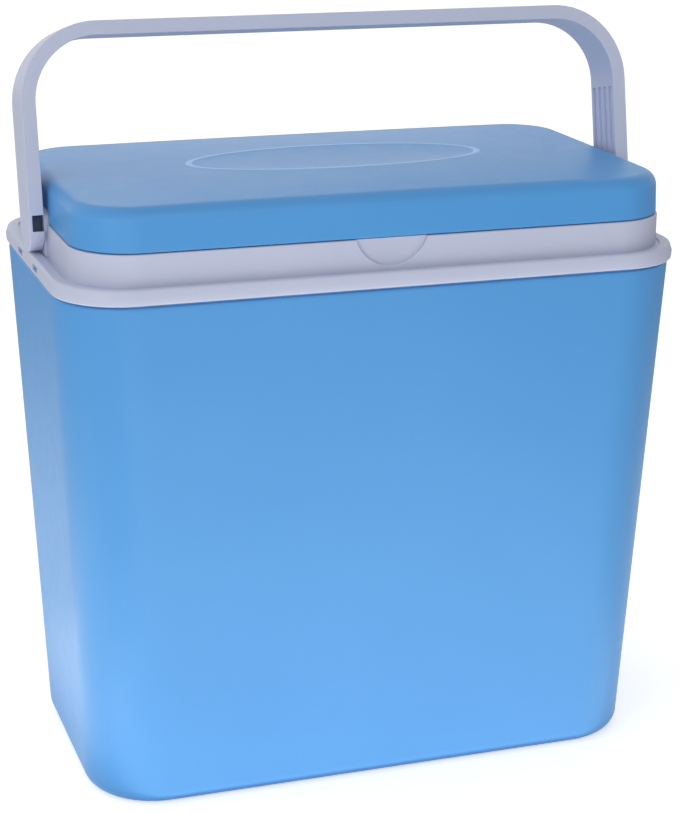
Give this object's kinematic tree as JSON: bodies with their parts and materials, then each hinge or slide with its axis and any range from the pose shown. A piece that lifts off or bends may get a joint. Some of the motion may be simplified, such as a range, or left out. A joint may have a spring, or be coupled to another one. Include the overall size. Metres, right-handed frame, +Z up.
{
  "type": "vaccine carrier",
  "caption": "Insulated hard-shell carrier with a tapered box, a lift-off lid and a wide swing handle over it, lined with water-filled ice packs.",
  "frame": {"origin": "middle of the footprint, on the surface that the box stands on", "axes": "+X across the width, from one pivot of the handle towards the other; -Y the front, where the thumb notch is; +Z up"},
  "size_m": [0.396, 0.2268, 0.4723],
  "materials": {
    "blue_shell": "satin",
    "blue_lid": "satin",
    "pale_liner": "satin",
    "pale_handle": "satin",
    "foam": "matte",
    "ice_pack": "satin",
    "stopper": "satin"
  },
  "bodies": {
    "box": {"outer_shell": "blue_shell", "body_insulation": "foam", "inner_liner": "pale_liner", "ice_pack_front_left": "ice_pack", "ice_pack_front_right": "ice_pack", "ice_pack_back_left": "ice_pack", "ice_pack_back_right": "ice_pack", "ice_pack_left_end": "ice_pack", "ice_pack_right_end": "ice_pack", "stopper_front_left": "stopper", "stopper_front_right": "stopper", "stopper_back_left": "stopper", "stopper_back_right": "stopper", "stopper_left_end": "stopper", "stopper_right_end": "stopper"},
    "handle": {"handle": "pale_handle"},
    "lid": {"lid_cover": "blue_lid", "lid_insulation": "foam", "lid_liner": "pale_liner"}
  },
  "joints": [
    {"name": "handle_swing", "type": "hinge", "parent": "box", "child": "handle", "pos_m": [0, 0, 0.3526], "axis": [1, 0, 0], "range_deg": [-78.7, 101.3]},
    {"name": "lid_lift", "type": "slide", "parent": "box", "child": "lid", "axis": [0, 0, 1], "range_m": [0, 0.045]}
  ]
}
